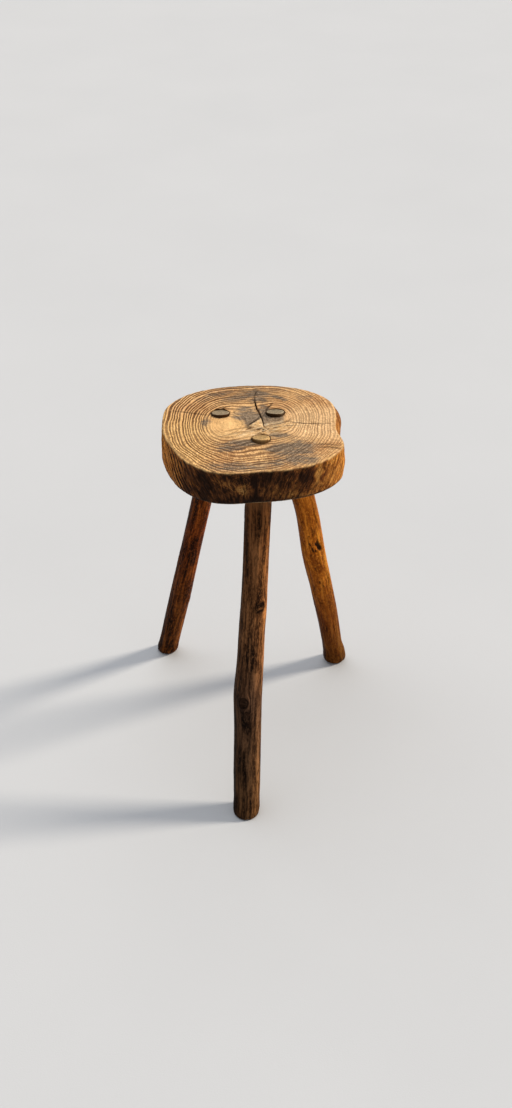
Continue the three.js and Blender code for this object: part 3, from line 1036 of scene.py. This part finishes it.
class Shader:
    """A Principled material and short ways to add the nodes that drive it."""

    def __init__(self, name):
        self.material = bpy.data.materials.new(name)
        self.material.use_nodes = True
        self.tree = self.material.node_tree
        self.main = self.tree.nodes["Principled BSDF"]
        self.place = self.add("ShaderNodeTexCoord").outputs["Object"]

    def add(self, kind, **settings):
        node = self.tree.nodes.new(kind)
        for key, value in settings.items():
            setattr(node, key, value)
        return node

    def link(self, value, socket):
        if isinstance(value, bpy.types.NodeSocket):
            self.tree.links.new(value, socket)
        else:
            socket.default_value = value

    def field(self, name, kind="Fac"):
        return self.add("ShaderNodeAttribute", attribute_name=name).outputs[kind]

    def math(self, operation, a, b=0.0, c=0.0, clamp=False):
        node = self.add("ShaderNodeMath", operation=operation, use_clamp=clamp)
        for value, socket in zip((a, b, c), node.inputs):
            self.link(value, socket)
        return node.outputs[0]

    def times(self, a, b):
        return self.math("MULTIPLY", a, b)

    def plus(self, a, b):
        return self.math("ADD", a, b)

    def larger(self, a, b):
        return self.math("MAXIMUM", a, b)

    def graded(self, value, gain, base, clamp=False):
        """value times gain, plus base."""
        return self.math("MULTIPLY_ADD", value, gain, base, clamp)

    def part(self, name, share):
        """A share of a painted field."""
        return self.times(self.field(name), share)

    def scaled(self, vector, factors):
        node = self.add("ShaderNodeVectorMath", operation="MULTIPLY")
        self.link(vector, node.inputs[0])
        node.inputs[1].default_value = factors
        return node.outputs[0]

    def joined(self, x, y, z):
        node = self.add("ShaderNodeCombineXYZ")
        for value, socket in zip((x, y, z), node.inputs):
            self.link(value, socket)
        return node.outputs[0]

    def split(self, vector):
        """A vector's first two parts."""
        node = self.add("ShaderNodeSeparateXYZ")
        self.link(vector, node.inputs[0])
        return node.outputs["X"], node.outputs["Y"]

    def noise(self, vector, scale, detail=3.0, rough=0.55, distort=0.0):
        node = self.add("ShaderNodeTexNoise")
        self.link(vector, node.inputs["Vector"])
        node.inputs["Scale"].default_value = scale
        node.inputs["Detail"].default_value = detail
        node.inputs["Roughness"].default_value = rough
        node.inputs["Distortion"].default_value = distort
        return node.outputs["Fac"]

    def ramp(self, value, stops, ease="LINEAR"):
        """A ramp of grey levels or colours, from (place, level or colour) stops."""
        node = self.add("ShaderNodeValToRGB")
        node.color_ramp.interpolation = ease
        marks = node.color_ramp.elements
        for _ in stops[2:]:
            marks.new(0.5)
        for mark, (place, level) in zip(marks, stops):
            mark.position = place
            mark.color = (*level, 1) if isinstance(level, tuple) else (level, level, level, 1)
        self.link(value, node.inputs[0])
        return node.outputs[0]

    def rise(self, value, low, high, level=1.0):
        """0 below low, rising to level at high."""
        return self.ramp(value, ((low, 0.0), (high, level)))

    def fall(self, value, low, high, level=1.0):
        """level below low, falling to 0 at high."""
        return self.ramp(value, ((low, level), (high, 0.0)))

    def mix(self, share, a, b, how="MIX"):
        node = self.add("ShaderNodeMix", data_type="RGBA", blend_type=how)
        node.clamp_factor = True
        self.link(share, node.inputs[0])
        for value, socket in ((a, node.inputs[6]), (b, node.inputs[7])):
            self.link((*value, 1) if isinstance(value, tuple) else value, socket)
        return node.outputs[2]

    def finish(self, colour, roughness, height, distance, specular=0.4):
        """Wires colour, roughness and a bump to the shader. The bump is distance metres high."""
        self.link(colour, self.main.inputs["Base Color"])
        self.link(roughness, self.main.inputs["Roughness"])
        self.main.inputs["Specular IOR Level"].default_value = specular
        bump = self.add("ShaderNodeBump")
        bump.inputs["Distance"].default_value = distance
        self.link(height, bump.inputs["Height"])
        self.link(bump.outputs[0], self.main.inputs["Normal"])
        return self.material


def seat_material():
    """End grain on both faces and long grain down the bark side, in old oiled wood."""
    s = Shader("old_log_slab")
    ring, ray = s.field("ring"), s.field("ray", "Vector")
    broad = s.noise(s.place, 26, 3, 0.55)
    mid = s.noise(s.place, 95, 4, 0.6)
    fine = s.noise(s.place, 420, 3, 0.6)
    dust = s.noise(s.place, 1500, 2, 0.6)
    bold, weave, fray = s.field("bold"), s.field("weave"), s.field("fray")

    # Growth rings: each is darkest at its outer edge, and each has its own depth of colour.
    count = s.plus(ring, s.plus(s.graded(mid, 0.34, -0.17), s.graded(fine, 0.20, -0.10)))
    year = s.math("FRACT", count)
    darkness = ((0.0, 0.20), (0.08, 0.0), (0.40, 0.0), (0.54, 0.9), (0.78, 1.0), (0.92, 0.95), (1.0, 0.20))
    line = s.ramp(year, darkness)
    own = s.add("ShaderNodeTexWhiteNoise", noise_dimensions="1D")
    s.link(s.math("FLOOR", count), own.inputs["W"])
    weight = s.graded(own.outputs["Value"], 0.30, 0.70)
    line = s.times(line, s.larger(weight, bold))
    half = s.math("FRACT", s.graded(count, 2.0, 0.3))
    half = s.ramp(half, ((0.0, 0.2), (0.2, 0.0), (0.55, 0.0), (0.75, 0.9), (0.9, 0.9), (1.0, 0.2)))
    half = s.times(half, s.graded(s.larger(bold, s.field("coarse")), -0.45, 0.45))
    line = s.larger(line, s.times(half, s.rise(broad, 0.42, 0.58)))
    line = s.times(line, s.ramp(mid, ((0.30, 0.6), (0.46, 1.0))))
    line = s.times(line, s.field("ringed"))

    # Rays and short checks that cross the rings.
    lean, rise = s.split(ray)
    spokes = s.noise(s.joined(s.times(lean, 44.0), s.times(rise, 44.0), s.times(ring, 0.75)), 1.0, 3, 0.6)
    spoke = s.ramp(spokes, ((0.48, 0.0), (0.56, 0.8), (0.64, 1.0)))
    spoke = s.times(spoke, s.graded(weave, 0.45, s.ramp(mid, ((0.36, 0.05), (0.60, 0.35)))))
    pale_spoke = s.fall(spokes, 0.32, 0.44)

    tan = s.mix(s.rise(broad, 0.36, 0.60), (0.58, 0.315, 0.135), (0.78, 0.475, 0.215))
    lighter = (
        ("sunny", 0.75, (0.86, 0.54, 0.21)),
        ("pale", 0.85, (0.82, 0.53, 0.23)),
        ("rosy", 0.85, (0.97, 0.65, 0.35)),
    )
    for name, share, colour in lighter:
        tan = s.mix(s.part(name, share), tan, colour)
    tan = s.mix(s.rise(fine, 0.45, 0.70, 0.35), tan, (0.50, 0.265, 0.10))
    tan = s.mix(s.times(pale_spoke, 0.45), tan, (0.92, 0.66, 0.36))
    top = s.mix(s.times(line, 0.97), tan, s.mix(bold, (0.125, 0.054, 0.021), (0.095, 0.038, 0.014)))
    top = s.mix(s.times(spoke, 0.75), top, (0.20, 0.098, 0.040))
    top = s.mix(s.rise(dust, 0.56, 0.72, 0.45), top, (0.27, 0.145, 0.062))
    grey = s.mix(s.rise(fine, 0.36, 0.64), (0.085, 0.064, 0.050), (0.285, 0.22, 0.155))
    grey = s.mix(s.times(line, 0.8), grey, (0.050, 0.032, 0.022))
    # Wet has crept sideways along the sawn face, so the stains are drawn out into streaks.
    creep = s.noise(s.scaled(s.place, (0.30, 1, 1)), 190, 4, 0.62, 0.8)
    blot = s.graded(s.rise(creep, 0.36, 0.64), 0.95, 0.32)
    stain = s.math("MULTIPLY", s.field("stain"), blot, clamp=True)
    stain = s.rise(stain, 0.12, 0.66, 0.92)
    top = s.mix(stain, top, grey)
    # Torn fibres: pale strands with dark gaps.
    strands = s.noise(s.field("strand", "Vector"), 1.0, 4, 0.6, 0.3)
    torn = s.ramp(
        strands,
        (
            (0.36, (0.09, 0.044, 0.020)),
            (0.45, (0.46, 0.27, 0.12)),
            (0.54, (0.78, 0.52, 0.27)),
            (0.63, (0.95, 0.76, 0.50)),
        ),
    )
    top = s.mix(s.times(fray, 0.88), top, torn)
    splint = s.times(s.field("splint"), s.ramp(strands, ((0.38, 0.2), (0.56, 0.95))))
    top = s.mix(splint, top, (0.80, 0.58, 0.34))
    # Dark checks and tear-outs, with painted shade round the tenons and at the legs' shoulders.
    top = s.mix(s.part("tears", 0.95), top, (0.022, 0.012, 0.007))

    # The bark side: near-black at the front, partly dirt and partly painted shade; golden with fissures on
    # the left; orange on the right, partly painted light.
    bark = s.field("bark", "Vector")
    fibres = s.noise(s.scaled(bark, (1, 1, 0.22)), 330, 4, 0.62, 0.6)
    bands = s.noise(s.scaled(bark, (1, 1, 0.55)), 105, 4, 0.65, 1.4)
    patches = s.noise(s.place, 44, 3, 0.6, 1.2)
    pits = s.noise(s.scaled(s.place, (1, 1, 0.7)), 480, 3, 0.65)
    course = s.plus(s.field("course"), s.graded(bands, 0.3, -0.15))
    off = s.math("ABSOLUTE", s.math("SUBTRACT", s.math("FRACT", course), 0.5))
    chance = s.add("ShaderNodeTexWhiteNoise", noise_dimensions="1D")
    s.link(s.math("FLOOR", course), chance.inputs["W"])
    fissure = s.ramp(s.plus(off, s.graded(fibres, 0.24, -0.12)), ((0.0, 1.0), (0.16, 1.0), (0.24, 0.0)))
    opened = s.plus(chance.outputs["Value"], s.graded(patches, 1.2, -0.6))
    fissure = s.times(fissure, s.rise(opened, 0.05, 0.25))
    fissure = s.times(fissure, s.field("cleft"))
    tone = s.field("tone")
    for grain, gain, base in ((patches, 0.6, -0.30), (bands, 1.1, -0.55), (fibres, 1.15, -0.59)):
        tone = s.plus(tone, s.graded(grain, gain, base))
    circling = s.plus(s.field("swirl"), s.plus(s.times(fine, 0.6), s.times(mid, 1.6)))
    arcs = s.math("SINE", s.times(circling, 2 * math.pi))
    tone = s.plus(tone, s.times(s.times(arcs, s.field("swirled")), s.graded(bands, 0.5, -0.12)))
    wall = s.ramp(
        tone,
        (
            (0.00, (0.014, 0.0060, 0.0034)),
            (0.22, (0.044, 0.0165, 0.0070)),
            (0.42, (0.125, 0.045, 0.0135)),
            (0.62, (0.26, 0.108, 0.028)),
            (0.95, (0.44, 0.225, 0.070)),
        ),
    )
    orange_with_painted_light = s.ramp(
        tone,
        (
            (0.15, (0.040, 0.012, 0.0035)),
            (0.42, (0.20, 0.055, 0.008)),
            (0.66, (0.42, 0.140, 0.018)),
            (0.95, (0.70, 0.290, 0.050)),
        ),
    )
    # The orange right side is partly the wood's colour and partly painted light.
    wall = s.mix(s.part("warm", 0.95), wall, orange_with_painted_light)
    hatch = s.noise(s.scaled(bark, (1, 1, 0.10)), 620, 2, 0.5)
    wall = s.mix(s.times(s.fall(hatch, 0.42, 0.50, 0.85), s.field("warm")), wall, (0.13, 0.036, 0.006))
    wall = s.mix(s.field("golden"), wall, (1.75, 1.38, 0.92), "MULTIPLY")
    clean = s.graded(s.field("warm"), -0.75, 1.0)
    for dirt in (s.fall(fibres, 0.36, 0.45, 0.8), s.fall(pits, 0.35, 0.44, 0.7)):
        wall = s.mix(s.times(clean, dirt), wall, (0.014, 0.006, 0.002))
    wall = s.mix(s.rise(pits, 0.56, 0.70, 0.5), wall, (2.0, 1.8, 1.4), "MULTIPLY")
    split = s.larger(s.field("split"), fissure)
    wall = s.mix(s.times(split, 0.96), wall, (0.007, 0.0035, 0.002))
    # Painted shade along the slab's lower edge.
    wall = s.mix(s.part("lower_edge", 0.75), wall, (0.010, 0.005, 0.0025))
    colour = s.mix(s.field("side"), top, wall)
    # The sitting face's rim: pale with wear, and partly a painted highlight, stronger on the right.
    rim = s.times(s.field("rim"), s.rise(mid, 0.42, 0.60, 0.8))
    colour = s.mix(rim, colour, (0.74, 0.46, 0.19))
    colour = s.mix(s.part("under", 0.45), colour, (0.21, 0.115, 0.045))
    # Painted shade inside the bores and the check.
    colour = s.mix(s.part("inside", 0.9), colour, (0.030, 0.015, 0.007))

    rough = s.plus(s.graded(fine, 0.25, 0.50), s.times(stain, 0.14))
    relief = s.times(line, -0.8)
    for grain, share in ((spoke, -0.5), (fine, 0.6), (dust, 0.3), (s.times(strands, fray), 2.4)):
        relief = s.plus(relief, s.times(grain, share))
    flat = s.math("SUBTRACT", 1.0, s.field("side"))
    rugged = s.plus(s.times(pits, 1.6), s.plus(s.times(fibres, 1.4), s.times(bands, 1.8)))
    rugged = s.plus(rugged, s.times(fissure, -1.8))
    relief = s.plus(s.times(relief, flat), s.times(rugged, s.field("side")))
    return s.finish(colour, rough, relief, 0.0013, 0.04)


def leg_material(name, dark, mid_tone, light, edge, shades, crown_grey, streaks, mottle):
    """Worn branch wood: streaks that part round the knots, dirt in the furrows, end grain at both ends."""
    s = Shader(name)
    grain = s.field("grain", "Vector")
    streak = s.noise(s.scaled(grain, (1, 1, 0.06)), 330, 4, 0.62, 0.35)
    broad = s.noise(s.scaled(grain, (1, 1, 0.12)), 110, 5, 0.62, 0.8)
    patch = s.noise(s.scaled(grain, (1, 1, 0.32)), 40, 4, 0.62, 0.9)
    speck = s.noise(s.scaled(grain, (1, 1, 0.35)), 620, 3, 0.65)
    height = s.field("height")

    tone = s.plus(s.times(broad, 0.65), s.plus(s.times(patch, 0.90), s.part("high", 0.10)))
    wood = s.ramp(s.times(tone, 0.62), ((0.40, dark), (0.47, mid_tone), (0.56, light)))
    wood = s.mix(s.times(s.fall(streak, 0.38, 0.475, 0.92), streaks), wood, faded(dark, 0.4))
    wood = s.mix(s.times(s.rise(streak, 0.52, 0.62, 0.75), streaks), wood, light)
    worn = s.noise(s.scaled(grain, (1, 1, 0.6)), 380, 4, 0.7, 0.5)
    wood = s.mix(s.times(s.fall(worn, 0.38, 0.48), mottle), wood, dark)
    wood = s.mix(s.times(s.rise(worn, 0.52, 0.62), mottle), wood, light)
    wood = s.mix(s.rise(speck, 0.56, 0.68, 0.5), wood, faded(dark, 0.5))
    wood = s.mix(s.fall(speck, 0.33, 0.43, 0.4), wood, light)
    wood = s.mix(s.part("furrow", 0.85), wood, faded(dark, 0.18))
    wood = s.mix(1.0, wood, s.ramp(s.times(height, 2.0), shades), "MULTIPLY")
    # Painted light and shade: the right-hand side is painted lighter and the left darker, as if lit from the
    # right.
    gx, gy = s.split(grain)
    across = s.math("SQRT", s.plus(s.times(gx, gx), s.times(gy, gy)))
    facing = s.math("DIVIDE", gx, s.larger(across, 0.0001))
    facing = s.graded(facing, 0.5, 0.5)
    painted_side_light = s.ramp(facing, ((0.0, 0.30), (0.16, 0.62), (0.45, 0.95), (0.75, 1.0), (1.0, 1.0)))
    wood = s.mix(1.0, wood, painted_side_light, "MULTIPLY")
    # A painted light tint, edge, along the right-hand edge.
    wood = s.mix(1.0, wood, s.ramp(facing, ((0.62, (1.0, 1.0, 1.0)), (0.90, edge))), "MULTIPLY")
    # Knots: dark eye, thin rings, a dark line round the collar.
    eye = s.field("eye")
    rings = s.math("SINE", s.times(eye, 17.0))
    eye_dark = s.ramp(eye, ((0.0, 0.9), (0.22, 0.55), (0.50, 0.25), (0.85, 0.75), (1.0, 0.6), (1.35, 0.0)))
    wood = s.mix(s.times(eye_dark, s.graded(rings, 0.30, 0.62)), wood, faded(dark, 0.35))
    wood = s.mix(s.part("cutting", 0.35), wood, light)

    # End grain: rings round the heart, grey with age, with a paler worn rim that is partly a painted
    # highlight.
    years = s.math("SINE", s.plus(s.times(across, 2 * math.pi / 0.0021), s.times(s.noise(grain, 160), 5.0)))
    cell = s.noise(grain, 900, 3, 0.6)
    grey = s.mix(s.rise(cell, 0.40, 0.58), faded(crown_grey, 0.42), crown_grey)
    grey = s.mix(s.graded(years, 0.2, 0.2, clamp=True), grey, faded(crown_grey, 0.35))
    # Painted shade: the tenon's sides near black, as if in shadow under the crown.
    tenon_painted_shade = tuple(c * share for c, share in zip(crown_grey, (0.12, 0.085, 0.06)))
    wood = s.mix(s.part("tenon", 0.95), wood, tenon_painted_shade)
    wood = s.mix(s.field("end"), wood, grey)
    # The crown's rim: paler with wear, and partly a painted highlight where it stands proud.
    wood = s.mix(s.part("worn", 0.6), wood, tuple(min(1.0, c * 1.7) for c in crown_grey))
    wood = s.mix(s.part("gouge", 0.93), wood, (0.012, 0.006, 0.004))

    rough = s.plus(s.graded(streak, 0.28, 0.36), s.part("end", 0.2))
    relief = s.plus(s.times(streak, 1.1), s.plus(s.times(broad, 0.8), s.times(speck, 0.22)))
    relief = s.plus(relief, s.times(s.times(years, s.field("end")), 0.12))
    return s.finish(wood, rough, relief, 0.0016, 0.025)


# ---- build ----

BORE_CUT_LENGTH = 0.12
BORE_SIDES = 72

seat = build_seat()
cutters = []
for node in LEGS:
    high, axis = leg_axis(node)
    middle = high + axis * (((SEAT_TOP + UNDERSIDE) / 2 - high[2]) / axis[2])
    cutters.append(tube("bore", Vector(middle), Vector(axis), BORE_RADIUS * MM, BORE_CUT_LENGTH, BORE_SIDES))
cutters.append(check_cutter("check", CHECK_LINE, width=2.7, depth=30, seed=61, opening=0.30))
cutters.append(check_cutter("branch_check", BRANCH_LINE, width=1.5, depth=9, seed=71))
cut(seat, cutters)
paint_seat(seat)
smooth_shade(seat, 42)
seat.data.materials.clear()
seat.data.materials.append(seat_material())

# Each branch's look. Each shade is at a place that is twice its height in metres. Streaks and mottle say how
# strong each is.
# Edge tints the painted light along each branch's right-hand edge.
LEG_LOOKS = {
    "leg_front": leg_material(
        "dark_branch",
        dark=(0.018, 0.0075, 0.0035),
        mid_tone=(0.090, 0.036, 0.0125),
        light=(0.30, 0.135, 0.050),
        edge=(1.6, 1.5, 1.25),
        shades=(
            (0.0, (0.52, 0.54, 0.56)),
            (0.12, (0.52, 0.56, 0.66)),
            (0.32, (0.45, 0.50, 0.73)),
            (0.52, (1.15, 1.10, 1.1)),
            (0.90, (0.72, 0.58, 0.46)),
        ),
        crown_grey=(0.58, 0.375, 0.165),
        streaks=0.85,
        mottle=0.35,
    ),
    "leg_rear_left": leg_material(
        "red_branch",
        dark=(0.018, 0.0048, 0.0012),
        mid_tone=(0.124, 0.030, 0.0036),
        light=(0.42, 0.140, 0.024),
        edge=(1.2, 1.2, 1.2),
        shades=(
            (0.0, (0.55, 0.52, 0.52)),
            (0.22, (0.66, 0.58, 0.56)),
            (0.55, (0.70, 0.47, 0.38)),
            (0.95, (1.6, 1.5, 1.1)),
        ),
        crown_grey=(0.37, 0.285, 0.182),
        streaks=0.55,
        mottle=0.45,
    ),
    "leg_rear_right": leg_material(
        "gold_branch",
        dark=(0.150, 0.044, 0.005),
        mid_tone=(0.29, 0.096, 0.009),
        light=(0.50, 0.215, 0.036),
        edge=(0.72, 0.82, 0.9),
        shades=(
            (0.0, (0.42, 0.36, 0.34)),
            (0.20, (0.80, 0.57, 0.47)),
            (0.50, (1.75, 1.38, 0.82)),
            (0.95, (0.76, 0.52, 0.36)),
        ),
        crown_grey=(0.35, 0.282, 0.190),
        streaks=0.38,
        mottle=0.55,
    ),
}
pieces = {"seat_slab": seat}
for node, look in LEG_LOOKS.items():
    leg = build_leg(node)
    smooth_shade(leg, 50)
    leg.data.materials.append(look)
    pieces[node] = leg

for node, piece in pieces.items():
    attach(piece, "root")
    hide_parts(node)

# ---- studio ----

FLOOR_REACH = 60.0
CAMERA_PITCH = 34  # degrees down
CAMERA_RIGHT, CAMERA_BACK = 0.0052, 1.7222  # from the seat's centre
CAMERA_HEIGHT = 1.440

floor_mesh = bpy.data.meshes.new("floor")
floor_corners = [(x * FLOOR_REACH, y * FLOOR_REACH, 0) for x, y in ((-1, -1), (1, -1), (1, 1), (-1, 1))]
floor_mesh.from_pydata(floor_corners, [], [(0, 1, 2, 3)])
floor = placed("floor", floor_mesh)
paper = Shader("pale_floor")
grit = paper.noise(paper.place, 3, 3, 0.5)
paper_colour = paper.mix(grit, (0.455, 0.475, 0.505), (0.485, 0.505, 0.535))
floor_mesh.materials.append(paper.finish(paper_colour, 0.85, paper.noise(paper.place, 500, 2), 0.0001, 0.2))


def soft_sun(name, source, spread, strength, colour):
    """A soft light from the direction source, with an angular size of spread degrees."""
    lamp = bpy.data.lights.new(name, "SUN")
    lamp.angle = math.radians(spread)
    lamp.energy = strength
    lamp.color = colour
    holder = placed(name, lamp)
    holder.rotation_euler = (-Vector(source)).to_track_quat("-Z", "Y").to_euler()


soft_sun("key", (1.0, 0.30, 0.66), 12, 4.0, (1.0, 0.88, 0.72))
soft_sun("top", (-0.25, 0.45, 1.0), 70, 1.5, (1.0, 0.98, 0.96))

world = bpy.data.worlds.new("studio")
bpy.context.scene.world = world
world.use_nodes = True
sky = world.node_tree.nodes["Background"]
sky.inputs["Color"].default_value = (0.94, 0.96, 1.0, 1)
sky.inputs["Strength"].default_value = 0.44

camera_data = bpy.data.cameras.new("camera")
camera = placed("camera", camera_data)
camera.location = (SEAT_CENTRE[0] + CAMERA_RIGHT, SEAT_CENTRE[1] - CAMERA_BACK, CAMERA_HEIGHT)
camera.rotation_euler = (math.radians(90 - CAMERA_PITCH), 0, 0)
camera_data.lens = 48.74
camera_data.sensor_width = 36
camera_data.clip_end = 200
bpy.context.scene.camera = camera
bpy.context.scene.view_settings.view_transform = "Standard"

bpy.context.view_layer.update()
